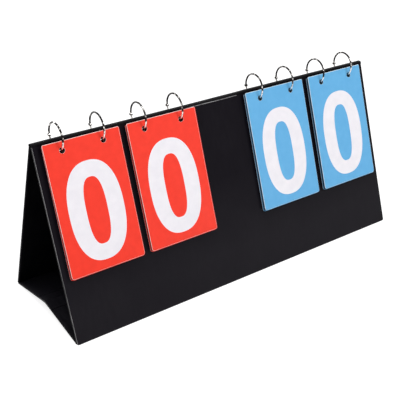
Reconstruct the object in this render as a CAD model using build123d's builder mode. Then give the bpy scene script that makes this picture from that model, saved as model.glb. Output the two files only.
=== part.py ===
from build123d import *
import os
from math import cos, degrees, radians, sin, sqrt, tan

# A tabletop flip scoreboard: two vinyl-covered panels stand as a tent on a base that folds up between
# them, and four stacks of number cards hang from binder rings through the front and rear panels.
# X runs along the case, -Y is the front, and the floor is z = 0 below the middle of the tent.

# ---- Driving dimensions, in millimetres and degrees ----

# Case
case_length = 392.0
panel_height = 180.1  # up the slope
panel_tilt = 19.2  # from upright
top_gap = 0.15  # between the inner top edges of the two panels
skin = 0.3  # outer vinyl sheet
board = 1.8  # stiff board between the sheets
liner = 0.3  # inner vinyl sheet
weld_margin = 2.5  # vinyl beyond the board all round
liner_inset = 1.2  # the inner sheet stops short of the edge
board_fit = 0.1
corner_radius = 2.0
floor = Plane.XY

# Base that folds up along its middle
base_slope = 10.4
base_corner_radius = 1.0
hinge_gap = 0.6  # from the foot hinge line to the base panel
fold_clearance = 0.1  # between a base panel and the panel that it folds against
floor_clearance = 0.15
ridge_clearance = 13.0  # stiff base panel ends this far short of the ridge line
ridge_split = 0.2  # between the two halves of the ridge

# Soft strips
spine_rise = 1.0
spine_seat = 0.03
strip_thickness = 0.6
strip_seat = 0.05

# Number cards
card_width = 74.6
card_height = 119.4
card_thickness = 0.44
card_gap = 0.04
card_count = 10
card_lower_radius = 2.5
card_upper_radius = 1.0
stack_standoff = 0.1  # last card to the front panel
left_margin = 7.1  # from the case's left end to the first red stack
red_gap = 8.1  # between the two red stacks
blue_gap = 8.5  # between the two blue stacks
right_margin = 8.7  # from the last blue stack to the case's right end
hole_pitch = 40.0
hole_from_top = 8.0
card_hole_radius = 2.7
wire_drop = 0.6  # hole centre below the wire that carries the card

# Binder rings
wire_radius = 0.9
ring_radius = 12.7  # to the middle of the wire
ring_rise = 1.65  # ring centre above the top edge of the panels
panel_hole_radius = 3.5
knuckle_angle = 100.0  # from the top of the ring towards the rear
closure_angle = -50.0  # from the top of the ring towards the front
closure_lap = 3.0
lap_gap = 0.05
end_gap = 0.12
eye_radius = 1.5
eye_clearance = 0.2
rivet_radius = 0.5
rivet_fit = 0.05
rivet_head_radius = 1.1
rivet_head_height = 0.35

# ---- What follows from them ----

thickness = skin + board + liner
shell_depth = skin + board
tilt_sin = sin(radians(panel_tilt))
tilt_cos = cos(radians(panel_tilt))
slope_sin = sin(radians(base_slope))
slope_cos = cos(radians(base_slope))

top_z = panel_height * tilt_cos
half_top = thickness * tilt_cos + top_gap / 2
hinge_z = floor_clearance + (thickness + fold_clearance) * slope_cos - hinge_gap * slope_sin


def inner_face(z):
    """Distance from the middle plane to a panel's inner face at height z."""
    return half_top + (top_z - z) * tan(radians(panel_tilt)) - thickness / tilt_cos


hinge_y = inner_face(hinge_z)
base_reach = hinge_y / slope_cos

ring_z = top_z + ring_rise
ring_inside = half_top * tilt_cos - ring_rise * tilt_sin  # ring centre behind a panel's outer face
ring_slope = -half_top * tilt_sin - ring_rise * tilt_cos  # ring centre down the slope from the top edge
card_pitch = card_thickness + card_gap

outer_card_middles = (
    left_margin + card_width / 2 - case_length / 2,
    case_length / 2 - right_margin - card_width / 2,
)
card_middles = [
    outer_card_middles[0],
    outer_card_middles[0] + card_width + red_gap,
    outer_card_middles[1] - card_width - blue_gap,
    outer_card_middles[1],
]
stack_names = ["red_tens", "red_units", "blue_tens", "blue_units"]
ring_xs = [x + side * hole_pitch / 2 for x in card_middles for side in (-1, 1)]


def ring_crossing(offset):
    """Distance down the slope at which the wire crosses a plane that far outside a panel's outer face."""
    return ring_slope + sqrt(ring_radius**2 - (ring_inside + offset) ** 2)


def save(piece, name):
    """Label a finished piece and write its STEP file."""
    piece.part.label = name
    export_step(piece.part, f"parts/{name}.step")


# ---- Covered boards: outer sheet, board and inner sheet ----


def panel_plane(side):
    """Outer face of the front (-1) or rear (1) panel, with its origin at the top edge and y up the slope."""
    return Plane(origin=(0, side * half_top, top_z), x_dir=(-side, 0, 0), z_dir=(0, side * tilt_cos, tilt_sin))


def base_plane(side):
    """Underside of the front (-1) or rear (1) base panel, with y from the foot hinge up to the ridge."""
    drop = thickness + fold_clearance
    foot = (0, side * (hinge_y - drop * slope_sin), hinge_z - drop * slope_cos)
    return Plane(origin=foot, x_dir=(side, 0, 0), z_dir=(0, -side * slope_sin, -slope_cos))


def covered_board(name, face, low, high, radius, holes=()):
    """A board sealed in vinyl between low and high on its outer face, with ring holes through it."""
    middle = (0, (low + high) / 2)
    height = high - low

    with BuildPart() as cover:
        with BuildSketch(face):
            with Locations(middle):
                RectangleRounded(case_length, height, radius)
        extrude(amount=-shell_depth)
        with BuildSketch(face.offset(-skin)):
            with Locations(middle):
                Rectangle(case_length - 2 * weld_margin, height - 2 * weld_margin)
        extrude(amount=-board, mode=Mode.SUBTRACT)
        punch(face, shell_depth, holes)
        split(bisect_by=floor, keep=Keep.TOP)
    save(cover, f"{name}_cover")

    with BuildPart() as core:
        with BuildSketch(face.offset(-skin)):
            with Locations(middle):
                Rectangle(
                    case_length - 2 * (weld_margin + board_fit),
                    height - 2 * (weld_margin + board_fit),
                )
        extrude(amount=-board)
        punch(face, thickness, holes)
    save(core, f"{name}_board")

    with BuildPart() as lining:
        with BuildSketch(face.offset(-shell_depth)):
            with Locations(middle):
                RectangleRounded(case_length - 2 * liner_inset, height - 2 * liner_inset, radius)
        extrude(amount=-liner)
        punch(face, thickness, holes)
    save(lining, f"{name}_liner")


def punch(face, depth, holes):
    """Cut the ring holes that deep into the piece being made."""
    if holes:
        with BuildSketch(face) as outline:
            with Locations(holes):
                Circle(panel_hole_radius)
        extrude(outline.sketch, amount=-depth, mode=Mode.SUBTRACT)


# ---- Soft strips that hinge the boards ----


def spine_strip():
    """The soft strip that bridges the two panels along the top of the tent."""
    seat_z = top_z + spine_seat
    with BuildPart() as strip:
        with BuildSketch(Plane.YZ):
            with BuildLine():
                ThreePointArc((-half_top, seat_z), (0, seat_z + spine_rise), (half_top, seat_z))
                Line((half_top, seat_z), (-half_top, seat_z))
            make_face()
        extrude(amount=case_length / 2, both=True)
    save(strip, "top_spine_strip")


def foot_strip(side, name):
    """The soft strip that joins a panel's foot to its base panel."""
    end_y = hinge_y - hinge_gap * slope_cos - (thickness + fold_clearance) * slope_sin
    panel_low = side * (inner_face(floor_clearance) - strip_seat)
    panel_high = side * (inner_face(floor_clearance + strip_thickness) - strip_seat)
    base_low = side * (end_y + strip_seat)
    base_high = side * (end_y + strip_seat + strip_thickness * slope_sin)
    with BuildPart() as strip:
        with BuildSketch(Plane.YZ):
            with BuildLine():
                Polyline(
                    (panel_low, floor_clearance),
                    (base_low, floor_clearance),
                    (base_high, floor_clearance + strip_thickness * slope_cos),
                    (panel_high, floor_clearance + strip_thickness),
                    close=True,
                )
            make_face()
        extrude(amount=case_length / 2, both=True)
    save(strip, name)


def ridge_strip(side, name):
    """The soft half of the raised fold that carries on from a base panel to the ridge line."""
    middle_cut = Plane.XZ.offset(-side * ridge_split / 2)
    with BuildPart() as strip:
        with BuildSketch(base_plane(side)):
            with Locations((0, base_reach - ridge_clearance)):
                Rectangle(case_length, 2 * ridge_clearance, align=(Align.CENTER, Align.MIN))
        extrude(amount=-thickness)
        split(bisect_by=middle_cut, keep=Keep.BOTTOM if side > 0 else Keep.TOP)
    save(strip, name)


# ---- Number cards ----


def number_cards(middle_x, numbers, name):
    """Cards of one stack, each moved down the slope to where the wire carries it."""
    with BuildPart() as cards:
        for number in numbers:
            offset = stack_standoff + (card_count - 1 - number) * card_pitch
            hole_s = ring_crossing(offset + card_thickness / 2) + wire_drop
            with BuildSketch(panel_plane(-1).offset(offset)) as outline:
                with Locations((middle_x, hole_from_top - hole_s)):
                    Rectangle(card_width, card_height, align=(Align.CENTER, Align.MAX))
                fillet(outline.vertices().group_by(Axis.Y)[0], radius=card_lower_radius)
                fillet(outline.vertices().group_by(Axis.Y)[-1], radius=card_upper_radius)
                with Locations((middle_x - hole_pitch / 2, -hole_s), (middle_x + hole_pitch / 2, -hole_s)):
                    Circle(card_hole_radius, mode=Mode.SUBTRACT)
            extrude(amount=card_thickness)
    save(cards, name)


# ---- Binder rings ----


def ring_plane(x, angle):
    """Plane square to the wire at that angle from the top, with its x along the ring's own axis."""
    turn = radians(angle)
    middle = (x, ring_radius * sin(turn), ring_z + ring_radius * cos(turn))
    return Plane(origin=middle, x_dir=(1, 0, 0), z_dir=(0, cos(turn), -sin(turn)))


def wire_angle(length):
    """Angle that a length of wire takes up on the ring."""
    return degrees(length / ring_radius)


def ring_point(angle):
    """Middle of the wire at that angle from the top, as (y, z)."""
    turn = radians(angle)
    return (ring_radius * sin(turn), ring_z + ring_radius * cos(turn))


def ring_half(x, closure, name):
    """The half of a ring that runs from the knuckle to the closure, flattened to one side at both ends."""
    about_ring = Axis((x, 0, ring_z), (-1, 0, 0))
    outwards = 1 if closure > knuckle_angle else -1  # from the knuckle into this half
    wire_start = knuckle_angle + outwards * wire_angle(eye_radius + eye_clearance)
    wire_end = closure - outwards * wire_angle(closure_lap / 2)
    lap_end = closure + outwards * wire_angle(closure_lap / 2 - end_gap)
    flat_width = wire_radius - lap_gap / 2
    flat_middle = -outwards * (wire_radius - flat_width / 2)
    cut_width = 2 * wire_radius - flat_width
    cut_middle = flat_middle + outwards * wire_radius
    low, high = sorted((knuckle_angle, lap_end))

    with BuildPart() as half:
        with BuildSketch(ring_plane(x, low)):
            Circle(wire_radius)
        revolve(axis=about_ring, revolution_arc=high - low)
        for low, high in (sorted((knuckle_angle, wire_start)), sorted((wire_end, lap_end))):
            with BuildSketch(ring_plane(x, low)):
                with Locations((cut_middle, 0)):
                    Rectangle(cut_width, 2 * wire_radius)
            revolve(axis=about_ring, revolution_arc=high - low, mode=Mode.SUBTRACT)
        with BuildSketch(Plane.YZ.offset(x + flat_middle)):
            with Locations(ring_point(knuckle_angle)):
                Circle(eye_radius)
        extrude(amount=flat_width / 2, both=True)
        with BuildSketch(Plane.YZ.offset(x)):
            with Locations(ring_point(knuckle_angle)):
                Circle(rivet_radius + rivet_fit)
        extrude(amount=wire_radius, both=True, mode=Mode.SUBTRACT)
    save(half, name)


def rivet(x, name):
    """The rivet that hinges the two halves of a ring."""
    with BuildPart() as pin:
        with BuildSketch(Plane.YZ.offset(x)):
            with Locations(ring_point(knuckle_angle)):
                Circle(rivet_radius)
        extrude(amount=wire_radius, both=True)
        for side in (-1, 1):
            with BuildSketch(Plane.YZ.offset(x + side * wire_radius)):
                with Locations(ring_point(knuckle_angle)):
                    Circle(rivet_head_radius)
            extrude(amount=side * rivet_head_height)
    save(pin, name)


# ---- The whole scoreboard ----

os.makedirs("parts", exist_ok=True)

for side, end in ((-1, "front"), (1, "rear")):
    covered_board(
        f"{end}_panel",
        panel_plane(side),
        -panel_height,
        0,
        corner_radius,
        [(-side * x, -ring_crossing(-thickness / 2)) for x in ring_xs],
    )
    covered_board(
        f"{end}_base",
        base_plane(side),
        hinge_gap,
        base_reach - ridge_clearance,
        base_corner_radius,
    )
    foot_strip(side, f"{end}_foot_strip")
    ridge_strip(side, f"{end}_ridge_strip")
spine_strip()

for stack, middle_x in zip(stack_names, card_middles):
    number_cards(middle_x, [0], f"{stack}_card_0")
    number_cards(middle_x, [1], f"{stack}_card_1")
    number_cards(middle_x, range(2, card_count), f"{stack}_cards_2_to_9")
    for side, hand in ((-1, "left"), (1, "right")):
        ring_x = middle_x + side * hole_pitch / 2
        ring_half(ring_x, 360 + closure_angle, f"{stack}_ring_{hand}")
        ring_half(ring_x, closure_angle, f"{stack}_gate_{hand}")
        rivet(ring_x, f"{stack}_rivet_{hand}")
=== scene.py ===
"""Looks of the tabletop flip scoreboard: a vinyl tent case, number cards and binder rings, all in metres."""

from __future__ import annotations

import logging
import math
from collections.abc import Sequence
from dataclasses import dataclass
from enum import Enum, IntEnum

import bmesh
import bpy
from mathutils import Matrix, Vector, noise

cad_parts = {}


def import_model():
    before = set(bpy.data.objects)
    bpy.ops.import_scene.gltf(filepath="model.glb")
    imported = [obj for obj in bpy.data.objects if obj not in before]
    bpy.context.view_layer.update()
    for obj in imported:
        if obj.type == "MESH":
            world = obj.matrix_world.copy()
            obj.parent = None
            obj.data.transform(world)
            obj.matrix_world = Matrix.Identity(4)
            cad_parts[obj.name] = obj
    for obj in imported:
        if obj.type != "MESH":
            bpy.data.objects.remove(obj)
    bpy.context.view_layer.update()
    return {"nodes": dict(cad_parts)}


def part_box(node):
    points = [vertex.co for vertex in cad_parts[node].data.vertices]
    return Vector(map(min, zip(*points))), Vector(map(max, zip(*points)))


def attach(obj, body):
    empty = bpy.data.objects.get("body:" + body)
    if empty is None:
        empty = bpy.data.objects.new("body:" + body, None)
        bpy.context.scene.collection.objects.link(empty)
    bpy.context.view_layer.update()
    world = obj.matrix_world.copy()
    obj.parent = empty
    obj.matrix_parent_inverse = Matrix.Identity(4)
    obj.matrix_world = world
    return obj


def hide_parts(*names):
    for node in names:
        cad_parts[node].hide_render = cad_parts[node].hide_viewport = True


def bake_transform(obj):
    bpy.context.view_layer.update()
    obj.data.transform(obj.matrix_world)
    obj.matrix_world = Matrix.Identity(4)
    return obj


log = logging.getLogger("scoreboard")

Colour = tuple[float, float, float]
Points = Sequence[tuple[float, float]]
Shape = bmesh.types.BMesh
Socket = bpy.types.NodeSocket
Material = bpy.types.Material
Palette = dict[str, Material]

MM = 0.001
TINY = 1e-6
CORNER_STEPS = 8
SMALLEST_CORNER = 0.05 * MM
PEG_SIDES = 40
STRIP_EDGE, FOLD_EDGE = 50, 40  # degrees from which an edge of a soft strip or fold stays sharp
RING_HOLE_DROP = 10.363 * MM  # down a panel's slope, from its top edge to its ring holes


# ---- Where the flat faces lie ----


class Side(Enum):
    """The two sides of the tent, by the sign of their Y."""

    FRONT = -1
    REAR = 1

    @property
    def word(self) -> str:
        """The side's name as the nodes and bodies spell it."""
        return self.name.lower()


@dataclass(frozen=True)
class Face:
    """A flat face of the case, with x along it, y up its slope and z out of it."""

    origin: Vector
    right: Vector
    up: Vector

    @property
    def out(self) -> Vector:
        """Direction square to the face, away from the material behind it."""
        return self.right.cross(self.up)

    def matrix(self) -> Matrix:
        """Matrix that takes the face's own x, y, z to the row frame."""
        turn = Matrix((self.right, self.up, self.out)).transposed()
        return Matrix.Translation(self.origin) @ turn.to_4x4()


# ---- Mesh tools ----


def dress(bm: Shape, name: str, *materials: Material) -> bpy.types.Object:
    """Turn a bmesh into an object of the scene.

    Args:
        bm: The shape, in the row frame. It is freed.
        name: The piece's name.
        materials: Its materials, in the order of the faces' material indices.

    Returns:
        The new object, at the origin.
    """
    mesh = bpy.data.meshes.new(name)
    bm.to_mesh(mesh)
    bm.free()
    for material in materials:
        mesh.materials.append(material)
    piece = bpy.data.objects.new(name, mesh)
    bpy.context.scene.collection.objects.link(piece)
    if materials:
        log.info("%s: %d faces", name, len(mesh.polygons))
    return piece


def smooth(piece: bpy.types.Object, sharp_from: float = 35.0) -> None:
    """Shade a piece smooth, with its large flat faces kept flat.

    Args:
        piece: The piece.
        sharp_from: The angle in degrees from which an edge stays sharp.
    """
    piece.data.shade_smooth()
    piece.data.set_sharp_from_angle(angle=math.radians(sharp_from))
    weighted = piece.modifiers.new("even_shading", "WEIGHTED_NORMAL")
    weighted.weight = 100
    weighted.keep_sharp = True


def rounded_plate(bm: Shape, width: float, height: float, radius: float, z: float) -> bmesh.types.BMFace:
    """Add a flat face with rounded corners, centred on the Z axis.

    Args:
        bm: The shape that gets it.
        width: Its size in X.
        height: Its size in Y.
        radius: The radius of its corners.
        z: Its height.

    Returns:
        The new face.
    """
    others = set(bm.faces)
    corners = bmesh.ops.create_grid(bm, x_segments=1, y_segments=1, size=0.5)["verts"]
    bmesh.ops.scale(bm, vec=(width, height, 1), verts=corners)
    bmesh.ops.translate(bm, vec=(0, 0, z), verts=corners)
    bmesh.ops.bevel(
        bm, geom=corners, offset=radius, segments=CORNER_STEPS, profile=0.5, affect="VERTICES", material=-1
    )
    return next(face for face in bm.faces if face not in others)


def plate_solid(width: float, height: float, radius: float, section: Points) -> Shape:
    """A closed plate whose rim follows a section all the way round.

    Args:
        width: The plate's size in X.
        height: The plate's size in Y.
        radius: The radius of its corners.
        section: Points (distance in from the rim, height), from the front face to the back face.

    Returns:
        The plate, centred on the Z axis.
    """
    bm = bmesh.new()
    above = None
    for step, (inset, z) in enumerate(section):
        corner = max(radius - inset, SMALLEST_CORNER)
        plate = rounded_plate(bm, width - 2 * inset, height - 2 * inset, corner, z)
        edges = list(plate.edges)
        if above:
            bmesh.ops.bridge_loops(bm, edges=above + edges)
        if 0 < step < len(section) - 1:
            bmesh.ops.delete(bm, geom=[plate], context="FACES_ONLY")
        above = edges
    bmesh.ops.recalc_face_normals(bm, faces=bm.faces)
    return bm


def quarter_round(radius: float, steps: int) -> Points:
    """Points (distance in from the rim, height) of a rounded front edge, from the face to the rim."""
    turns = [math.pi / 2 * step / steps for step in range(steps + 1)]
    return [(radius * (1 - math.sin(a)), -radius * (1 - math.cos(a))) for a in turns]


def box_shape(low: Vector, high: Vector, place: Matrix | None = None) -> Shape:
    """A closed box.

    Args:
        low: Its lowest corner.
        high: Its highest corner.
        place: Where it is then moved, if anywhere.

    Returns:
        The box.
    """
    bm = bmesh.new()
    bmesh.ops.create_cube(bm, size=1)
    size = high - low
    bmesh.ops.scale(bm, vec=size, verts=bm.verts)
    bmesh.ops.translate(bm, vec=(low + high) / 2, verts=bm.verts)
    bmesh.ops.transform(bm, matrix=place or Matrix.Identity(4), verts=bm.verts)
    return bm


def cut(piece: bpy.types.Object, *shapes: Shape) -> None:
    """Cut closed shapes out of a piece, one after the other.

    Args:
        piece: The piece. Its mesh is replaced.
        shapes: What is cut away. Each is freed.
    """
    for shape in shapes:
        cutter = dress(shape, "cutter")
        boolean = piece.modifiers.new("cut", "BOOLEAN")
        boolean.operation = "DIFFERENCE"
        boolean.solver = "EXACT"
        boolean.object = cutter
        bpy.context.view_layer.update()
        evaluated = piece.evaluated_get(bpy.context.evaluated_depsgraph_get())
        result = bpy.data.meshes.new_from_object(evaluated)
        piece.modifiers.clear()
        old, piece.data = piece.data, result
        bpy.data.meshes.remove(old)
        bpy.data.objects.remove(cutter)
    piece.data.name = piece.name


def extrude(bm: Shape) -> list[bmesh.types.BMVert]:
    """Double every face of a flat shape in place, and hand over the new corners to be moved."""
    made = bmesh.ops.extrude_face_region(bm, geom=bm.faces[:])
    return [v for v in made["geom"] if isinstance(v, bmesh.types.BMVert)]


def sweep_profile(points: Points, length: float, steps: int) -> Shape:
    """Sweep an open line along X.

    Args:
        points: The line's points (y, z).
        length: How far it is swept, centred on the middle of the case.
        steps: How many steps that takes.

    Returns:
        The sheet, with no thickness.
    """
    bm = bmesh.new()
    line = [bm.verts.new((-length / 2, y, z)) for y, z in points]
    edges = [bm.edges.new(pair) for pair in zip(line, line[1:])]
    bmesh.ops.spin(bm, geom=edges, axis=(1, 0, 0), dvec=(length / steps, 0, 0), angle=0, steps=steps)
    return bm


# ---- Finishes ----


class Nodes:
    """A node tree under construction, with short ways to add to it."""

    def __init__(self, owner: Material | bpy.types.World) -> None:
        """Start with an empty tree.

        Args:
            owner: The material or world that has the tree.
        """
        owner.use_nodes = True
        self.tree = owner.node_tree
        self.tree.nodes.clear()

    def add(self, kind: str, inputs: dict | None = None, **settings: object) -> bpy.types.Node:
        """Add a node.

        Args:
            kind: The node's type, without the leading ShaderNode.
            inputs: Values for its inputs, or sockets to link to them.
            settings: The node's own settings.

        Returns:
            The new node.
        """
        node = self.tree.nodes.new(f"ShaderNode{kind}")
        for name, value in settings.items():
            setattr(node, name, value)
        for name, value in (inputs or {}).items():
            if isinstance(value, Socket):
                self.tree.links.new(value, node.inputs[name])
            else:
                node.inputs[name].default_value = value
        return node

    def spread(self, value: Socket, start: float, end: float, low: float, high: float) -> Socket:
        """A value that goes from low to high while the given one goes from start to end."""
        ranges = {"From Min": start, "From Max": end, "To Min": low, "To Max": high}
        return self.add("MapRange", {"Value": value, **ranges}).outputs["Result"]

    def combine(self, operation: str, first: Socket, second: Socket, clamp: bool = False) -> Socket:
        """The result of a sum of two values, held between 0 and 1 if clamped."""
        node = self.add("Math", {0: first, 1: second}, operation=operation, use_clamp=clamp)
        return node.outputs["Value"]


@dataclass(frozen=True)
class Grain:
    """Soft noise: its features' size in millimetres, its finer layers, and how each axis is scaled."""

    size: float
    detail: float
    scale: Colour = (1, 1, 1)


class Recipe(Nodes):
    """A material under construction: its nodes, its shader and its patterns, with sizes in millimetres."""

    NOISE_LOW, NOISE_HIGH = 0.3, 0.7  # most of a noise's values lie between these
    WANDER_SCALE, WANDER_REACH = 0.7, 0.8  # how pebbles lose their rows, as shares of their size
    ROUGH, SMOOTH = 0.55, 0.35  # of the noise's finer layers, and of the pebbles' rims

    def __init__(self, name: str) -> None:
        """Start a material with a Principled shader and Object coordinates in millimetres.

        Args:
            name: The material's name.
        """
        self.material = bpy.data.materials.new(name)
        super().__init__(self.material)
        self.shader = self.add("BsdfPrincipled")
        self.add("OutputMaterial", {"Surface": self.shader.outputs["BSDF"]})
        place = self.add("TexCoord")
        scaled = self.add("Mapping", {"Vector": place.outputs["Object"], "Scale": (1 / MM,) * 3})
        self.spot = scaled.outputs["Vector"]

    def height(self) -> Socket:
        """Height over the table."""
        return self.add("SeparateXYZ", {"Vector": self.spot}).outputs["Z"]

    def grain(self, grain: Grain) -> Socket:
        """Add a soft noise.

        Args:
            grain: Its sizes.

        Returns:
            Its values.
        """
        spot = self.add("Mapping", {"Vector": self.spot, "Scale": grain.scale}).outputs["Vector"]
        look = {"Vector": spot, "Scale": 1 / grain.size, "Detail": grain.detail, "Roughness": self.ROUGH}
        return self.add("TexNoise", look).outputs["Fac"]

    def pebbles(self, size: float) -> Socket:
        """Small rounded cells of that size, as of embossed vinyl.

        Args:
            size: From one cell to the next.

        Returns:
            The cells' height pattern.
        """
        look = {"Vector": self.spot, "Scale": self.WANDER_SCALE / size, "Detail": 1.0}
        wander = self.add("TexNoise", look)
        bent = self.add(
            "VectorMath",
            {0: wander.outputs["Color"], 1: (size * self.WANDER_REACH,) * 3, 2: self.spot},
            operation="MULTIPLY_ADD",
        )
        look = {"Vector": bent.outputs["Vector"], "Scale": 1 / size, "Smoothness": self.SMOOTH}
        return self.add("TexVoronoi", look, feature="SMOOTH_F1").outputs["Distance"]

    def ramp(self, value: Socket, low: float, high: float) -> Socket:
        """Spread a noise value between low and high."""
        return self.spread(value, self.NOISE_LOW, self.NOISE_HIGH, low, high)

    def blend_colours(self, value: Socket, first: Colour, second: Colour) -> Socket:
        """A colour between two, as the value goes from 0 to 1."""
        colours = {0: value, 6: (*first, 1), 7: (*second, 1)}
        return self.add("Mix", colours, data_type="RGBA").outputs[2]

    def relief(self, *layers: tuple[Socket, float]) -> None:
        """Raise the surface by several height patterns.

        Args:
            layers: The patterns, each with its depth.
        """
        normal = None
        for height, depth in layers:
            bump = self.add("Bump", {"Height": height, "Distance": depth * MM, "Strength": 1.0})
            if normal is not None:
                self.tree.links.new(normal, bump.inputs["Normal"])
            normal = bump.outputs["Normal"]
        self.tree.links.new(normal, self.shader.inputs["Normal"])

    def finish(self, colour: Socket, roughness: Socket, **even: float) -> Material:
        """Put the last values on the shader.

        Args:
            colour: The surface's colour.
            roughness: Its roughness.
            even: What is even all over, by the shader's input with _ for each space.

        Returns:
            The finished material.
        """
        self.tree.links.new(colour, self.shader.inputs["Base Color"])
        self.tree.links.new(roughness, self.shader.inputs["Roughness"])
        for name, value in even.items():
            self.shader.inputs[name.replace("_", " ")].default_value = value
        return self.material


@dataclass(frozen=True)
class Vinyl:
    """Embossed black vinyl sheet. Its sizes are in millimetres."""

    name: str
    dark: Colour
    pale: Colour
    roughness: float = 0.46
    shine: float = 0.05
    pebble_size: float = 0.55
    pebble_depth: float = 0.035
    ripple_depth: float = 0.35
    wear_share: float = 1.0
    wear_from: float = 0.14
    wear_to: float = 0.38
    # heights in mm between which the sheet turns paler towards the foot, painted bounce light from the floor,
    # and how much paler
    painted_bounce_from: float = 100.0
    painted_bounce_to: float = 30.0
    dust: float = 0.0
    ripples: Grain = Grain(60, 1)
    clouds: Grain = Grain(38, 3)
    scuffs: Grain = Grain(3.2, 6, (1, 0.25, 0.25))
    smoother: float = 0.07
    rougher: float = 0.08

    def material(self) -> Material:
        """Make the vinyl: pebbled emboss, slow ripples over the board, cloudy wear, and a paler tone towards
        the foot that is painted bounce light from the floor.

        Returns:
            The material.
        """
        recipe = Recipe(self.name)
        pebbles = recipe.pebbles(self.pebble_size)
        scuffs = recipe.grain(self.scuffs)
        wear = recipe.combine("MULTIPLY", recipe.grain(self.clouds), scuffs)
        cloudy = recipe.spread(wear, self.wear_from, self.wear_to, 0, self.wear_share)
        # Painted light: paler towards the foot, standing in for the floor's bounce light.
        bounce_paint = recipe.spread(recipe.height(), self.painted_bounce_from, self.painted_bounce_to, 0, self.dust)
        colour = recipe.blend_colours(recipe.combine("ADD", cloudy, bounce_paint, True), self.dark, self.pale)
        recipe.relief((recipe.grain(self.ripples), self.ripple_depth), (pebbles, self.pebble_depth))
        gloss = recipe.ramp(scuffs, self.roughness - self.smoother, self.roughness + self.rougher)
        return recipe.finish(colour, gloss, Specular_IOR_Level=self.shine)


@dataclass(frozen=True)
class Plating:
    """Plated steel, in patches of tarnish and painted reflection, and paler low down where the cards slide,
    part wear and part painted reflection. Sizes in millimetres.
    """

    name: str
    bright: Colour
    dark: Colour
    roughness: float = 0.16
    patch_size: float = 2.6
    wear_and_painted_glint_from: float = 172.5
    wear_and_painted_glint_to: float = 167.0
    wear_and_painted_glint_share: float = 1.6
    darkest: float = -1.25
    brightest: float = 1.05
    scratches: Grain = Grain(0.4, 6, (1, 0.2, 0.2))
    scratch_depth: float = 0.01
    smoother: float = 0.05
    rougher: float = 0.1

    def material(self) -> Material:
        """Make the metal: patches of tarnish and painted reflection, paler low down as wear and painted
        reflection, and drawing lines along the wire.

        Returns:
            The material.
        """
        recipe = Recipe(self.name)
        # Painted reflection besides tarnish: dark and bright patches, with more of the bright low down.
        patches = recipe.ramp(recipe.grain(Grain(self.patch_size, 2)), self.darkest, self.brightest)
        wear_and_painted_glint = recipe.spread(recipe.height(), self.wear_and_painted_glint_from, self.wear_and_painted_glint_to, 0, self.wear_and_painted_glint_share)
        colour = recipe.blend_colours(recipe.combine("ADD", patches, wear_and_painted_glint, True), self.dark, self.bright)
        scratches = recipe.grain(self.scratches)
        recipe.relief((scratches, self.scratch_depth))
        gloss = recipe.ramp(scratches, self.roughness - self.smoother, self.roughness + self.rougher)
        return recipe.finish(colour, gloss, Metallic=1.0)


@dataclass(frozen=True)
class Sheet:
    """Sheet stock whose colour, gloss and surface each follow a noise."""

    name: str
    dark: Colour
    pale: Colour
    mottle: Grain
    relief: tuple[tuple[Grain, float], ...]
    gloss: Grain
    smoothest: float
    roughest: float
    shine: float

    def material(self) -> Material:
        """Make the sheet.

        Returns:
            The material.
        """
        recipe = Recipe(self.name)
        colour = recipe.blend_colours(recipe.ramp(recipe.grain(self.mottle), 0, 1), self.dark, self.pale)
        recipe.relief(*((recipe.grain(grain), depth) for grain, depth in self.relief))
        gloss = recipe.ramp(recipe.grain(self.gloss), self.smoothest, self.roughest)
        return recipe.finish(colour, gloss, Specular_IOR_Level=self.shine)


def card_plastic(name: str, deep: Colour, colour: Colour) -> Sheet:
    """Smooth plastic sheet: a faint mottle, slow waves with orange peel, and handling smears."""
    surface = ((Grain(45, 1), 0.12), (Grain(0.9, 2), 0.006))
    return Sheet(name, deep, colour, Grain(7, 4), surface, Grain(16, 5, (1, 0.4, 0.4)), 0.36, 0.52, 0.25)


def cut_edge(name: str, core: Colour, skin: Colour) -> Sheet:
    """Die-cut edge of a card, where the die leaves streaks from its core to its coloured skins."""
    streaks = Grain(1.1, 5, (0.15, 0.15, 1))
    return Sheet(name, core, skin, streaks, ((streaks, 0.02),), streaks, 0.45, 0.62, 0.3)


def white_ink(name: str) -> Sheet:
    """Opaque screen-printed ink: slightly uneven cover with a fine mesh texture."""
    thin, full = (0.84, 0.815, 0.865), (0.9, 0.87, 0.915)
    return Sheet(name, thin, full, Grain(9, 4), ((Grain(0.35, 2), 0.006),), Grain(12, 4), 0.36, 0.5, 0.35)


def greyboard(name: str) -> Sheet:
    """Raw edge of the stiff board: pressed layers of pulp with loose fibres."""
    colours, layers = ((0.22, 0.2, 0.17), (0.36, 0.33, 0.28)), Grain(0.5, 5, (0.2, 1, 0.2))
    return Sheet(name, *colours, layers, ((layers, 0.06),), Grain(4, 3), 0.8, 0.95, 0.2)


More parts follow.
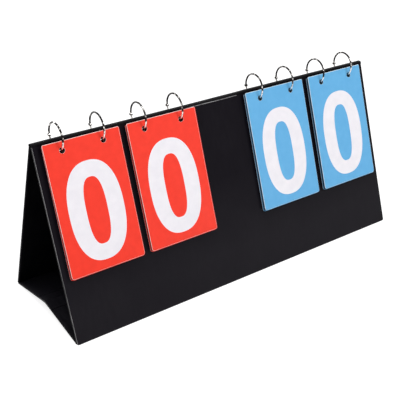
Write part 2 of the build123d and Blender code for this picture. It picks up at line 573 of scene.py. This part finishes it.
FINISHES = (
    Vinyl("outer_vinyl", (0.0036, 0.0026, 0.005), (0.0125, 0.0112, 0.0142), wear_share=0.25, dust=0.7),
    # Painted highlight: a pale grey copy of the black vinyl, on the covers' rounded rims and the spine's lap
    # edge.
    Vinyl("rim_vinyl_painted_highlight", (0.06, 0.058, 0.06), (0.3, 0.29, 0.3), 0.27, 0.5, 0.9, 0.012),
    Vinyl("inner_vinyl", (0.0006, 0.0006, 0.0009), (0.0014, 0.0014, 0.0019), 0.5, 0.05, 0.8, 0.03),
    # Painted light: a paler copy of the lining vinyl for the base's inside and the ridge folds, standing in
    # for the light that reaches there; the panels keep the darker copy.
    Vinyl("base_lining_vinyl_painted_light", (0.004, 0.0036, 0.0055), (0.009, 0.0082, 0.0115), 0.45, 0.12, 0.8, 0.03),
    # Painted shade: a darker copy of the outer vinyl, on the spine roll and the foot hinges, so the spine's
    # top reads dark as if it mirrored dark surroundings.
    Vinyl("strip_vinyl", (0.0014, 0.0012, 0.0018), (0.0035, 0.003, 0.0042), 0.42, 0.05, 0.5, 0.03, 0.5),
    greyboard("greyboard"),
    white_ink("white_ink"),
    # Painted reflection: the wire's near-black base and its bright patches stand in for the dark and bright
    # surroundings that polished wire mirrors, besides tarnish; the rivets are darkened to match.
    Plating("nickel_wire", (0.8, 0.77, 0.74), (0.012, 0.01, 0.01)),
    Plating("steel_rivet", (0.12, 0.11, 0.1), (0.02, 0.018, 0.017), 0.24, 1.2, wear_and_painted_glint_share=0.0),
    card_plastic("red_card", (0.89, 0.037, 0.017), (0.95, 0.044, 0.021)),
    card_plastic("blue_card", (0.12, 0.415, 0.735), (0.137, 0.445, 0.765)),
    cut_edge("red_cut_edge", (0.98, 0.8, 0.77), (0.95, 0.45, 0.4)),
    cut_edge("blue_cut_edge", (0.85, 0.93, 0.98), (0.55, 0.76, 0.93)),
    # Painted shade: near-black walls for the ring holes, standing in for the shade deep inside them.
    cut_edge("red_punched_hole", (0.02, 0.002, 0.002), (0.008, 0.001, 0.001)),
    cut_edge("blue_punched_hole", (0.004, 0.008, 0.018), (0.002, 0.004, 0.009)),
    # Painted shade: dark copies of the card colours for the inner cards' side edges, standing in for the
    # shade between the cards.
    cut_edge("red_stack_side", (0.3, 0.014, 0.012), (0.12, 0.007, 0.006)),
    cut_edge("blue_stack_side", (0.03, 0.09, 0.17), (0.012, 0.04, 0.08)),
)


# ---- The folding case ----


@dataclass(frozen=True)
class CaseSizes:
    """Sizes of the case, in metres and radians."""

    length: float = 392 * MM
    height: float = 180.1 * MM
    tilt: float = math.radians(19.2)
    top_gap: float = 0.15 * MM
    skin: float = 0.3 * MM
    board: float = 1.8 * MM
    liner: float = 0.3 * MM
    weld_margin: float = 2.5 * MM
    corner_radius: float = 2 * MM
    hole_radius: float = 3.5 * MM
    base_slope: float = math.radians(10.4)
    base_corner_radius: float = 1 * MM
    hinge_gap: float = 0.6 * MM
    fold_clearance: float = 0.1 * MM
    floor_clearance: float = 0.15 * MM
    ridge_clearance: float = 13 * MM
    strip_thickness: float = 0.6 * MM
    strip_seat: float = 0.05 * MM

    @property
    def shell_depth(self) -> float:
        """Outer sheet and board together."""
        return self.skin + self.board

    @property
    def thickness(self) -> float:
        """A whole covered board."""
        return self.shell_depth + self.liner

    @property
    def drop(self) -> float:
        """From a base panel's upper side, where the hinge line lies, to its underside and the gap below."""
        return self.thickness + self.fold_clearance

    @property
    def top_z(self) -> float:
        """Height of the panels' top edges."""
        return self.height * math.cos(self.tilt)

    @property
    def half_top(self) -> float:
        """Distance from the middle plane to a panel's outer top edge."""
        return self.thickness * math.cos(self.tilt) + self.top_gap / 2

    @property
    def hinge_z(self) -> float:
        """Height of the hinge line at a panel's foot."""
        rise = self.drop * math.cos(self.base_slope) - self.hinge_gap * math.sin(self.base_slope)
        return self.floor_clearance + rise

    @property
    def hinge_y(self) -> float:
        """Distance from the middle plane to a hinge line."""
        return self.inner_face(self.hinge_z)

    @property
    def base_reach(self) -> float:
        """From a hinge line up the base's slope to the ridge line."""
        return self.hinge_y / math.cos(self.base_slope)

    def inner_face(self, z: float) -> float:
        """Distance from the middle plane to a panel's inner face at height z."""
        return self.half_top + (self.top_z - z) * math.tan(self.tilt) - self.thickness / math.cos(self.tilt)

    def panel(self, side: Side) -> Face:
        """Outer face of a panel.

        Args:
            side: The side of the tent.

        Returns:
            The face, with its origin at the top edge and y up the slope.
        """
        s = side.value
        return Face(
            Vector((0, s * self.half_top, self.top_z)),
            Vector((-s, 0, 0)),
            Vector((0, -s * math.sin(self.tilt), math.cos(self.tilt))),
        )

    def base(self, side: Side) -> Face:
        """Underside of a base panel.

        Args:
            side: The side of the tent.

        Returns:
            The face, with its origin at the hinge line and y towards the ridge.
        """
        s = side.value
        slope_sin, slope_cos = math.sin(self.base_slope), math.cos(self.base_slope)
        return Face(
            Vector((0, s * (self.hinge_y - self.drop * slope_sin), self.hinge_z - self.drop * slope_cos)),
            Vector((s, 0, 0)),
            Vector((0, -s * slope_cos, slope_sin)),
        )


@dataclass(frozen=True)
class CoveredBoard:
    """A stiff board sealed between vinyl sheets, with a pressed weld line round its edge."""

    name: str
    face: Face
    low: float
    high: float
    radius: float
    case: CaseSizes
    palette: Palette
    holes: Points = ()
    front_round: float = 0.7 * MM
    front_steps: int = 5
    back_round: float = 0.3 * MM
    back_steps: int = 2
    weld_from_edge: float = 1.35 * MM
    weld_half: float = 0.3 * MM
    weld_depth: float = 0.14 * MM
    # facing limits of the rim: between them the pale rim vinyl is a painted highlight, below the first the
    # near-black inner vinyl is painted shade
    highlight_rim_from: float = 0.5
    highlight_rim_to: float = 0.9
    table_reach: float = 1.0
    table_depth: float = 0.1

    def build(self) -> None:
        """Make the outer sheet with its rounded rim, hollow where the board lies."""
        case = self.case
        height = self.high - self.low
        bm = plate_solid(case.length, height, self.radius, self.section())
        place = self.face.matrix() @ Matrix.Translation((0, (self.low + self.high) / 2, 0))
        bmesh.ops.transform(bm, matrix=place, verts=bm.verts)
        # Painted light by facing: rim faces turned partly away from the face get the pale rim vinyl as a
        # painted highlight on the rounded edge, and the sheet's ends, turned further away, get the near-black
        # inner vinyl as painted shade.
        for face in bm.faces:
            facing = abs(face.normal.dot(self.face.out))
            if facing <= self.highlight_rim_from:
                face.material_index = 2
            elif facing < self.highlight_rim_to:
                face.material_index = 1
        sheets = ("outer_vinyl", "rim_vinyl_painted_highlight", "inner_vinyl")
        cover = dress(bm, f"{self.name}_outer_sheet", *(self.palette[sheet] for sheet in sheets))
        half_x, half_y = case.length / 2 - case.weld_margin, height / 2 - case.weld_margin
        cavity = box_shape(
            Vector((-half_x, -half_y, -2 * case.shell_depth)), Vector((half_x, half_y, -case.skin)), place
        )
        reach = self.table_reach
        table = box_shape(Vector((-reach, -reach, -self.table_depth)), Vector((reach, reach, 0)))
        cut(cover, cavity, table)
        if self.holes:
            cut(cover, self.pegs())
        smooth(cover)
        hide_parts(f"{self.name}_cover")
        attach(cover, self.name)

    def pegs(self) -> Shape:
        """Round pegs through the board at its ring holes, as one shape to cut with.

        Returns:
            The pegs.
        """
        bm = bmesh.new()
        radius = self.case.hole_radius
        low, high = -2 * self.case.thickness, self.case.thickness
        size = {"radius1": radius, "radius2": radius, "depth": high - low}
        for x, y in self.holes:
            place = self.face.matrix() @ Matrix.Translation((x, y, (low + high) / 2))
            bmesh.ops.create_cone(bm, cap_ends=True, segments=PEG_SIDES, matrix=place, **size)
        return bm

    def section(self) -> Points:
        """The rim's section.

        Returns:
            Points from the outer face over the weld line and round to the inner side.
        """
        weld, depth = self.weld_from_edge, -self.case.shell_depth
        groove = [(weld + self.weld_half, 0), (weld, -self.weld_depth), (weld - self.weld_half, 0)]
        front = quarter_round(self.front_round, self.front_steps)
        back = [(inset, depth - z) for inset, z in reversed(quarter_round(self.back_round, self.back_steps))]
        return groove + front + back


@dataclass(frozen=True)
class Spine:
    """The soft vinyl that rolls over the top of the tent and hinges the two panels."""

    case: CaseSizes
    palette: Palette
    lap: float = 1.7 * MM
    rise: float = 1.0 * MM
    lift: float = 0.1 * MM
    wall: float = 0.28 * MM
    steps: int = 156
    lap_points: Points = ((1.0, 0.2), (0.6, 0.8), (0.25, 1.3))  # shares of lap, lift
    roll_turns: tuple[float, ...] = (8, 24, 42, 60, 76)
    roll_power: float = 0.75
    roll_lift: float = 1.2  # share of lift
    wave_length: float = 21 * MM
    wave_across: float = 6 * MM
    wave_height: float = 0.2 * MM
    wave_place: float = 3.7  # where in the noise the waves are read
    slow_length: float = 4.3  # share of wave_length
    slow_height: float = 0.6  # share of wave_height
    slow_place: float = 9.1
    sag: float = 0.55 * MM
    sag_from: float = -165 * MM
    sag_to: float = 35 * MM
    pucker_middle: float = -7 * MM
    pucker_reach: float = 20 * MM
    pucker: float = 0.6 * MM
    droop: float = 0.8 * MM
    droop_level: float = 0.3
    # the band of the front lap, from its edge, that gets the pale rim vinyl as a painted highlight, and where
    # along the pucker it starts
    crease: float = 0.4  # share of lap
    crease_from: float = 0.1  # share of the pucker

    def half_profile(self) -> Points:
        """One side of the roll.

        Returns:
            Points (out, z) from the lap's edge up to the crest.
        """
        sin_t, cos_t = math.sin(self.case.tilt), math.cos(self.case.tilt)
        half, top = self.case.half_top, self.case.top_z
        out = (self.lift * cos_t, self.lift * sin_t)
        points = []
        for share, lift in self.lap_points:
            down = share * self.lap
            points.append((half + down * sin_t + lift * out[0], top - down * cos_t + lift * out[1]))
        for turn in self.roll_turns:
            a = math.radians(turn)
            reach = half * math.cos(a) ** self.roll_power
            points.append((reach + self.roll_lift * self.lift, top + self.rise * math.sin(a)))
        points.append((0.0, top + self.rise))
        return points

    def sagging(self, x: float) -> float:
        """Share of the sag at a place along the case."""
        run = (x - self.sag_from) / (self.sag_to - self.sag_from)
        return math.sin(math.pi * run) ** 0.5 if 0 < run < 1 else 0.0

    def lifted(self, x: float) -> float:
        """Share of the lift of the front lap, where the sheet stands off the panel."""
        return math.exp(-(((x - self.pucker_middle) / self.pucker_reach) ** 2))

    def wave(self, co: Vector, share: float) -> None:
        """Move a point of the roll as the sheet waves, sags and puckers.

        Args:
            co: The point, which is changed.
            share: Its height up the roll, from 0 at the lap's edge to 1 at the crest.
        """
        wave = noise.noise(Vector((co.x / self.wave_length, self.wave_place, co.y / self.wave_across)))
        slow = noise.noise(Vector((co.x / (self.slow_length * self.wave_length), self.slow_place, 0)))
        co.z -= share * (self.wave_height * (0.5 + 0.5 * wave) + self.sag * self.sagging(co.x))
        co.y += share * self.wave_height * self.slow_height * slow
        if co.y < 0:
            loose = self.lifted(co.x) * (1 - share)
            co.y -= self.pucker * loose
            co.z -= self.droop * loose * (wave - self.droop_level)

    def build(self) -> None:
        """Make the rolled strip."""
        side = self.half_profile()
        profile = [(-y, z) for y, z in side] + [(y, z) for y, z in reversed(side[:-1])]
        bm = sweep_profile(profile, self.case.length, self.steps)
        lowest = side[0][1]
        for vert in bm.verts:
            share = min(1.0, max(0.0, (vert.co.z - lowest) / (self.lap + self.rise)))
            self.wave(vert.co, share)
        bmesh.ops.recalc_face_normals(bm, faces=bm.faces)
        bmesh.ops.solidify(bm, geom=bm.faces[:], thickness=self.wall)
        # Painted highlight: the lowest band of the front lap, where it stands off the panel, gets the pale
        # rim vinyl.
        highlight_top = lowest + self.crease * self.lap
        for face in bm.faces:
            middle = face.calc_center_median()
            if middle.y < 0 and middle.z < highlight_top and self.lifted(middle.x) > self.crease_from:
                face.material_index = 1
        strip = dress(bm, "spine_roll", self.palette["strip_vinyl"], self.palette["rim_vinyl_painted_highlight"])
        smooth(strip, STRIP_EDGE)
        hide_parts("top_spine_strip")
        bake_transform(strip)


@dataclass(frozen=True)
class Case:
    """The whole folding case: panels, base panels and the soft strips between them."""

    sizes: CaseSizes
    palette: Palette
    ring_holes: Points
    base_front_round: float = 0.5 * MM
    base_back_round: float = 0.6 * MM
    foot_lengthwise: int = 60
    foot_across: int = 8
    foot_sag: float = 0.12 * MM
    foot_thinner: float = 0.15 * MM
    # (along the slope, out of the underside) round half of the ridge, in millimetres, pinched past the board
    ridge_lower: Points = ((0, -0.05), (1.4, -0.45), (3.2, -0.3), (11.8, -0.05), (12.4, -0.12))
    ridge_upper: Points = ((12.8, -2.3), (12.2, -2.38), (3.2, -2.15), (1.4, -1.95), (0, -2.35))

    def build(self) -> None:
        """Make and dress every piece of the case."""
        sizes = self.sizes
        for side in Side:
            panel = sizes.panel(side)
            holes = tuple((-side.value * x, y) for x, y in self.ring_holes)
            CoveredBoard(
                f"{side.word}_panel", panel, -sizes.height, 0, sizes.corner_radius, sizes, self.palette, holes
            ).build()
            CoveredBoard(
                f"{side.word}_base",
                sizes.base(side),
                sizes.hinge_gap,
                sizes.base_reach - sizes.ridge_clearance,
                sizes.base_corner_radius,
                sizes,
                self.palette,
                front_round=self.base_front_round,
                back_round=self.base_back_round,
            ).build()
            self.foot_strip(side)
            self.ridge_fold(side)
        Spine(sizes, self.palette).build()

    def foot_strip(self, side: Side) -> None:
        """Make the soft strip between a panel's foot and its base panel.

        Args:
            side: The side of the tent.
        """
        c = self.sizes
        end_y = c.hinge_y - c.hinge_gap * math.cos(c.base_slope) - c.drop * math.sin(c.base_slope)
        outer = c.inner_face(c.floor_clearance) - c.strip_seat
        inner = end_y + c.strip_seat
        profile = []
        for step in range(self.foot_across + 1):
            t = step / self.foot_across
            sag = self.foot_sag * math.sin(math.pi * t)
            y = side.value * (outer + (inner - outer) * t)
            profile.append((y, c.floor_clearance + c.strip_thickness - sag))
        bm = sweep_profile(profile, c.length, self.foot_lengthwise)
        bmesh.ops.recalc_face_normals(bm, faces=bm.faces)
        if sum(f.normal.z for f in bm.faces) < 0:
            bmesh.ops.reverse_faces(bm, faces=bm.faces)
        bmesh.ops.solidify(bm, geom=bm.faces[:], thickness=c.strip_thickness - self.foot_thinner)
        strip = dress(bm, f"{side.word}_foot_hinge", self.palette["strip_vinyl"])
        smooth(strip, STRIP_EDGE)
        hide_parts(f"{side.word}_foot_strip")
        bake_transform(strip)

    def ridge_fold(self, side: Side) -> None:
        """Make the soft half of the base's raised fold.

        Args:
            side: The side of the tent.
        """
        c = self.sizes
        start = c.base_reach - c.ridge_clearance
        face = c.base(side)
        place = face.matrix()
        bm = bmesh.new()
        outline = [(start + y * MM, z * MM) for y, z in self.ridge_lower + self.ridge_upper]
        bm.faces.new([bm.verts.new(place @ Vector((-c.length / 2, y, z))) for y, z in outline])
        bmesh.ops.translate(bm, vec=face.right * c.length, verts=extrude(bm))
        bmesh.ops.recalc_face_normals(bm, faces=bm.faces)
        fold = dress(bm, f"{side.word}_ridge_fold", self.palette["base_lining_vinyl_painted_light"])
        smooth(fold, FOLD_EDGE)
        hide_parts(f"{side.word}_ridge_strip")
        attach(fold, f"{side.word}_base")


# ---- Number cards ----


class Numeral(Enum):
    """Which numeral is printed on a card."""

    ZERO = "0"
    ONE = "1"


@dataclass(frozen=True)
class NumeralShape:
    """Bold condensed numerals, drawn about their own middle."""

    half_width: float = 27.0 * MM
    half_height: float = 44.75 * MM
    outer_power: float = 2.38
    hole_half_width: float = 10.4 * MM
    hole_half_height: float = 30.3 * MM
    hole_power: float = 2.69
    stem_half_width: float = 9.2 * MM
    stem_shift: float = 5.5 * MM
    stem_height: float = 0.985  # share of half_height
    shoulder: float = 0.35  # where the flag leaves the stem's top, as a share of stem_half_width
    notch: float = 0.55  # the flag's drops at the stem and at its tip, as shares of flag_drop
    tip: float = 1.25
    flag_reach: float = 13.5 * MM
    flag_drop: float = 10.5 * MM
    flag_height: float = 15.5 * MM
    flag_taper: float = 0.8  # its height at the stem, as a share of flag_height
    steps: int = 96
    ink: float = 0.02 * MM
    sink: float = 0.008 * MM

    def shape(self, numeral: Numeral) -> Shape:
        """Make a numeral as a thin closed plate.

        Args:
            numeral: Which one.

        Returns:
            The plate, whose underside lies at -sink.
        """
        bm = self.zero() if numeral is Numeral.ZERO else self.one()
        underside = extrude(bm)
        bmesh.ops.translate(bm, vec=(0, 0, self.ink), verts=bm.verts)
        bmesh.ops.translate(bm, vec=(0, 0, -self.ink - self.sink), verts=underside)
        bmesh.ops.recalc_face_normals(bm, faces=bm.faces)
        return bm

    def loop(self, bm: Shape, half_width: float, half_height: float, power: float) -> list:
        """Add a closed round-cornered loop.

        Args:
            bm: The shape that it is added to.
            half_width: Half its size in X.
            half_height: Half its size in Y.
            power: How square it is, from 2 for an ellipse.

        Returns:
            Its edges.
        """
        made = bmesh.ops.create_circle(bm, segments=self.steps, radius=1)
        for vert in made["verts"]:
            x, y = vert.co.x, vert.co.y
            vert.co.x = math.copysign(abs(x) ** (2 / power), x) * half_width
            vert.co.y = math.copysign(abs(y) ** (2 / power), y) * half_height
        return list({e for v in made["verts"] for e in v.link_edges})

    def zero(self) -> Shape:
        """A flat zero with its counter open.

        Returns:
            The zero.
        """
        bm = bmesh.new()
        outer = self.loop(bm, self.half_width, self.half_height, self.outer_power)
        inner = self.loop(bm, self.hole_half_width, self.hole_half_height, self.hole_power)
        bmesh.ops.bridge_loops(bm, edges=outer + inner)
        return bm

    def one(self) -> Shape:
        """A flat one: a straight stem with a flag at its top left.

        Returns:
            The one.
        """
        bm = bmesh.new()
        left, right = self.stem_shift - self.stem_half_width, self.stem_shift + self.stem_half_width
        top, bottom = self.half_height * self.stem_height, -self.half_height * self.stem_height
        tip_x, tip_y = left - self.flag_reach, top - self.flag_drop * self.tip
        corners = [
            (left, bottom),
            (right, bottom),
            (right, top),
            (left + self.shoulder * self.stem_half_width, top),
            (left, top - self.flag_drop * self.notch),
            (tip_x, tip_y),
            (tip_x, tip_y - self.flag_height),
            (left, top - self.flag_drop - self.flag_height * self.flag_taper),
        ]
        bm.faces.new([bm.verts.new((x, y, 0)) for x, y in corners])
        return bm


class CardFace(IntEnum):
    """Material slots of a card."""

    SHEET = 0
    CUT_EDGE = 1
    INK = 2
    PUNCHED_HOLE = 3
    STACK_SIDE = 4


@dataclass(frozen=True)
class Fan:
    """Shift of a stack's last card to the right, at its rings and at its foot, and what inner ones add."""

    top: float
    foot: float
    inner: float


@dataclass(frozen=True)
class CardStack:
    """One stack of ten number cards, which fan out a little behind the front one."""

    name: str
    colour: str
    face: Face
    middle_x: float
    fan: Fan
    palette: Palette
    uneven: float = 0.14 * MM
    uneven_step: float = 7.3  # from card to card in the noise
    uneven_scale: float = 90.0
    pitch: float = 0.48 * MM
    standoff: float = 0.1 * MM
    height: float = 119.4 * MM
    count: int = 10
    numeral_drop: float = 66.4 * MM
    hole_from_top: float = 8.0 * MM
    hole_reach: float = 3.2 * MM
    hole_pitch: float = 40.0 * MM
    bevel: float = 0.36 * MM
    hole_bevel: float = 0.14 * MM
    worn: float = 0.25
    slack: float = 0.01  # share of pitch
    front_facing: float = 0.9
    rim_angle: float = 1.0
    flat_angle: float = math.radians(0.5)

    def build(self) -> None:
        """Make and dress every card of the stack."""
        self.card("card_0", f"{self.name}_card_0", Numeral.ZERO)
        self.card("card_1", "front_panel", Numeral.ONE)
        self.card("cards_2_to_9", "front_panel", None)

    def level(self, point: Vector) -> float:
        """Height of a point out of the panel's face."""
        return (point - self.face.origin).dot(self.face.out)

    def above(self, point: Vector) -> float:
        """Place of a point up the panel's slope, from the panel's top edge."""
        return (point - self.face.origin).dot(self.face.up)

    def number(self, point: Vector) -> int:
        """Number of the card that a point belongs to."""
        from_back = (self.level(point) - self.standoff) / self.pitch + self.slack
        return self.count - 1 - min(self.count - 1, max(0, int(from_back)))

    def tops(self, bm: Shape) -> dict[int, float]:
        """Place of each card's top edge up the panel's slope.

        Args:
            bm: The cards.

        Returns:
            The places, by the cards' numbers.
        """
        found: dict[int, float] = {}
        for vert in bm.verts:
            number = self.number(vert.co)
            found[number] = max(found.get(number, -math.inf), self.above(vert.co))
        return found

    def in_hole(self, point: Vector, top: float) -> bool:
        """Whether a point lies on the wall of a ring hole of the card whose top edge is given."""
        across = abs(abs(point.x - self.middle_x) - self.hole_pitch / 2)
        return math.hypot(across, self.above(point) - top + self.hole_from_top) < self.hole_reach

    def hang(self, bm: Shape) -> None:
        """Shift each card sideways as it hangs on its rings, which wear the inner cards' holes wide.

        Args:
            bm: The cards, which are changed.
        """
        tops = self.tops(bm)
        fan, last = self.fan, self.count - 1
        for vert in bm.verts:
            number = self.number(vert.co)
            down = (tops[number] - self.above(vert.co)) / self.height
            if number > 1 and self.in_hole(vert.co, tops[number]):
                middle = self.middle_x + math.copysign(self.hole_pitch / 2, vert.co.x - self.middle_x)
                rise = self.above(vert.co) - tops[number] + self.hole_from_top
                vert.co += self.worn * ((vert.co.x - middle) * self.face.right + rise * self.face.up)
            shift = number / last * (fan.top + (fan.foot - fan.top) * down)
            if 1 < number < last:
                spot = Vector((self.uneven_step * number, self.middle_x * self.uneven_scale, down))
                shift += fan.inner + self.uneven * noise.noise(spot)
            vert.co.x += shift

    def bevel_front(self, bm: Shape, top: float) -> None:
        """Bevel the front edges of the front card and of its holes.

        Args:
            bm: The card.
            top: The place of its top edge.
        """
        front = max(self.level(v.co) for v in bm.verts)
        on_front = [e for e in bm.edges if all(self.level(v.co) > front - TINY for v in e.verts)]
        rim = [e for e in on_front if e.calc_face_angle(0) > self.rim_angle]
        punched = [e for e in rim if self.in_hole(e.verts[0].co, top)]
        look = {"segments": 2, "profile": 0.5, "affect": "EDGES", "material": CardFace.CUT_EDGE}
        for edges, width in (([e for e in rim if e not in punched], self.bevel), (punched, self.hole_bevel)):
            bmesh.ops.bevel(bm, geom=edges, offset=width, **look)

    def paint(self, bm: Shape, tops: dict[int, float]) -> None:
        """Give each face of the cards its material slot.

        Args:
            bm: The cards.
            tops: The places of their top edges, by their numbers.
        """
        for face in bm.faces:
            middle = face.calc_center_median()
            number = self.number(middle)
            if abs(face.normal.dot(self.face.out)) > self.front_facing:
                face.material_index = CardFace.SHEET
            # Painted shade: every hole wall gets the near-black finish of the shade deep in the holes.
            elif self.in_hole(middle, tops[number]):
                face.material_index = CardFace.PUNCHED_HOLE
            # Painted shade: the side edges of the inner cards get a dark copy of the card colour, for the
            # shade between the cards.
            elif 0 < number < self.count - 1:
                face.material_index = CardFace.STACK_SIDE
            else:
                face.material_index = CardFace.CUT_EDGE

    def card(self, node: str, body: str, numeral: Numeral | None) -> None:
        """Make a card, or the rest of the stack, from its own solid.

        Args:
            node: The end of the solid's name.
            body: The body that it moves with.
            numeral: What is printed on it, if it ever shows.
        """
        bm = bmesh.new()
        bm.from_mesh(bpy.data.objects[f"{self.name}_{node}"].data)
        bmesh.ops.remove_doubles(bm, verts=bm.verts, dist=TINY)
        flat = {"angle_limit": self.flat_angle, "delimit": {"NORMAL"}}
        bmesh.ops.dissolve_limit(bm, verts=bm.verts, edges=bm.edges, **flat)
        tops = self.tops(bm)
        self.paint(bm, tops)
        if numeral is Numeral.ZERO:
            self.bevel_front(bm, tops[0])
        if numeral:
            self.print_numeral(bm, numeral)
        self.hang(bm)
        slots = [f"{self.colour}_{end}" for end in ("card", "cut_edge", "punched_hole", "stack_side")]
        slots.insert(CardFace.INK, "white_ink")
        piece = dress(bm, f"{self.name}_{node}_sheet", *(self.palette[slot] for slot in slots))
        smooth(piece)
        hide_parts(f"{self.name}_{node}")
        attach(piece, body)

    def print_numeral(self, bm: Shape, numeral: Numeral) -> None:
        """Add the printed numeral to a card's front.

        Args:
            bm: The card.
            numeral: What is printed.
        """
        top = max(self.above(v.co) for v in bm.verts)
        front = max(self.level(v.co) for v in bm.verts)
        place = self.face.matrix() @ Matrix.Translation((self.middle_x, top - self.numeral_drop, front))
        print_bm = NumeralShape().shape(numeral)
        bmesh.ops.transform(print_bm, matrix=place, verts=print_bm.verts)
        for face in print_bm.faces:
            face.material_index = CardFace.INK
        layer = bpy.data.meshes.new("numeral")
        print_bm.to_mesh(layer)
        print_bm.free()
        bm.from_mesh(layer)
        bpy.data.meshes.remove(layer)


# ---- Studio ----


@dataclass(frozen=True)
class Softbox:
    """A soft square lamp that looks at a point."""

    name: str
    place: tuple[float, float, float]
    size: float
    watts: float
    aim: tuple[float, float, float] = (0, 0, 0.08)

    def build(self) -> None:
        """Make the lamp."""
        data = bpy.data.lights.new(self.name, "AREA")
        data.shape = "SQUARE"
        data.size = self.size
        data.energy = self.watts
        lamp = bpy.data.objects.new(self.name, data)
        lamp.location = self.place
        lamp.rotation_euler = (Vector(self.aim) - Vector(self.place)).to_track_quat("-Z", "Y").to_euler()
        bpy.context.scene.collection.objects.link(lamp)


@dataclass(frozen=True)
class Studio:
    """Camera, floor, backdrop and lamps."""

    azimuth: float = -36.66
    elevation: float = 27.83
    roll: float = 0.67
    distance: float = 813.8 * MM
    target: tuple[float, float, float] = (-18.33 * MM, 0, 64.44 * MM)
    focal: float = 804.6
    frame: float = 400
    sensor: float = 36.0
    nearest: float = 0.01
    farthest: float = 20.0
    sky: float = 0.45
    floor_half: float = 4.0
    floor_drop: float = 0.02 * MM
    floor_grey: float = 0.42
    floor_glow: float = 0.82
    lamps: tuple[Softbox, ...] = (
        Softbox("key", (0.75, -1.25, 1.45), 0.55, 15),
        Softbox("left", (-1.45, -1.0, 0.3), 0.5, 5.5),
        Softbox("top", (-0.25, -0.25, 1.7), 0.8, 7),
        Softbox("low", (0.8, -1.3, 0.04), 0.35, 2),
        Softbox("back", (-0.5, 1.5, 1.1), 0.7, 9),
    )

    def build(self) -> None:
        """Make the whole studio."""
        bpy.context.scene.view_settings.view_transform = "Standard"
        self.camera()
        self.world()
        self.floor()
        for lamp in self.lamps:
            lamp.build()
        log.info("studio: %d lamps", len(self.lamps))

    def camera(self) -> None:
        """Make the camera at the wanted viewing angle."""
        data = bpy.data.cameras.new("camera")
        data.sensor_fit = "HORIZONTAL"
        data.sensor_width = self.sensor
        data.lens = self.focal / self.frame * data.sensor_width
        data.clip_start, data.clip_end = self.nearest, self.farthest
        a, e = math.radians(self.azimuth), math.radians(self.elevation)
        back = Vector((math.sin(a) * math.cos(e), -math.cos(a) * math.cos(e), math.sin(e)))
        camera = bpy.data.objects.new("camera", data)
        turn = (-back).to_track_quat("-Z", "Y").to_matrix().to_4x4()
        camera.matrix_world = (
            Matrix.Translation(Vector(self.target) + back * self.distance)
            @ turn
            @ Matrix.Rotation(math.radians(self.roll), 4, "Z")
        )
        bpy.context.scene.collection.objects.link(camera)
        bpy.context.scene.camera = camera

    def seen(self, nodes: Nodes) -> Socket:
        """Tell rays that show the surroundings from rays that light things.

        Args:
            nodes: The tree that the test is added to.

        Returns:
            A value of 1 for the first kind and 0 for the second.
        """
        path = nodes.add("LightPath")
        value = path.outputs["Is Camera Ray"]
        for name in ("Is Glossy Ray", "Is Transmission Ray"):
            value = nodes.combine("MAXIMUM", value, path.outputs[name])
        return value

    def world(self) -> None:
        """Make the world: white where it is seen, softer where it lights."""
        world = bpy.data.worlds.new("studio")
        bpy.context.scene.world = world
        nodes = Nodes(world)
        strength = nodes.spread(self.seen(nodes), 0, 1, self.sky, 1)
        background = nodes.add("Background", {"Color": (1, 1, 1, 1), "Strength": strength})
        nodes.add("OutputWorld", {"Surface": background.outputs["Background"]})

    def floor(self) -> None:
        """Make the floor: pale, with the object's soft shadow on it."""
        bm = bmesh.new()
        bmesh.ops.create_grid(bm, x_segments=1, y_segments=1, size=self.floor_half)
        bmesh.ops.translate(bm, vec=(0, 0, -self.floor_drop), verts=bm.verts)
        material = bpy.data.materials.new("pale_floor")
        nodes = Nodes(material)
        matte = nodes.add("BsdfDiffuse", {"Color": (*(self.floor_grey,) * 3, 1)})
        strength = nodes.spread(self.seen(nodes), 0, 1, 0, self.floor_glow)
        glow = nodes.add("Emission", {"Strength": strength})
        both = nodes.add("AddShader", {0: matte.outputs["BSDF"], 1: glow.outputs["Emission"]})
        nodes.add("OutputMaterial", {"Surface": both.outputs["Shader"]})
        dress(bm, "floor", material)


# ---- The whole scoreboard ----

STACKS = {
    "red_tens": Fan(1.3 * MM, 0.2 * MM, 0.45 * MM),
    "red_units": Fan(0.9 * MM, 0.4 * MM, 0.7 * MM),
    "blue_tens": Fan(1.2 * MM, 0.4 * MM, 0.5 * MM),
    "blue_units": Fan(1.2 * MM, 0.9 * MM, 0.5 * MM),
}

# finish of each solid that keeps its own shape, by what its name holds, the first that fits
KEPT_FINISHES = {
    "_base_liner": "base_lining_vinyl_painted_light",
    "_liner": "inner_vinyl",
    "_board": "greyboard",
    "_rivet_": "steel_rivet",
    "_ring_": "nickel_wire",
    "_gate_": "nickel_wire",
}


def assign(node: str, material: Material) -> None:
    """Give a solid of the frame its finish.

    Args:
        node: The solid's name.
        material: The finish.
    """
    mesh = bpy.data.objects[node].data
    if mesh.materials:
        mesh.materials[0] = material
    else:
        mesh.materials.append(material)
    log.info("%s: %s", node, material.name)


def main() -> None:
    """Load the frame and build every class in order."""
    logging.basicConfig(level=logging.INFO, format="%(name)s: %(message)s")
    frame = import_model()
    palette = {finish.name: finish.material() for finish in FINISHES}
    sizes = CaseSizes()
    rings = [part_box(f"{stack}_ring_{hand}") for stack in STACKS for hand in ("left", "right")]
    Case(sizes, palette, tuple(((low.x + high.x) / 2, -RING_HOLE_DROP) for low, high in rings)).build()
    for stack, fan in STACKS.items():
        low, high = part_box(f"{stack}_card_0")
        colour = stack.split("_")[0]
        CardStack(stack, colour, sizes.panel(Side.FRONT), (low.x + high.x) / 2, fan, palette).build()
    for node in frame["nodes"]:
        finish = next((name for part, name in KEPT_FINISHES.items() if part in node), None)
        if finish:
            assign(node, palette[finish])
    Studio().build()


if __name__ == "__main__":
    main()
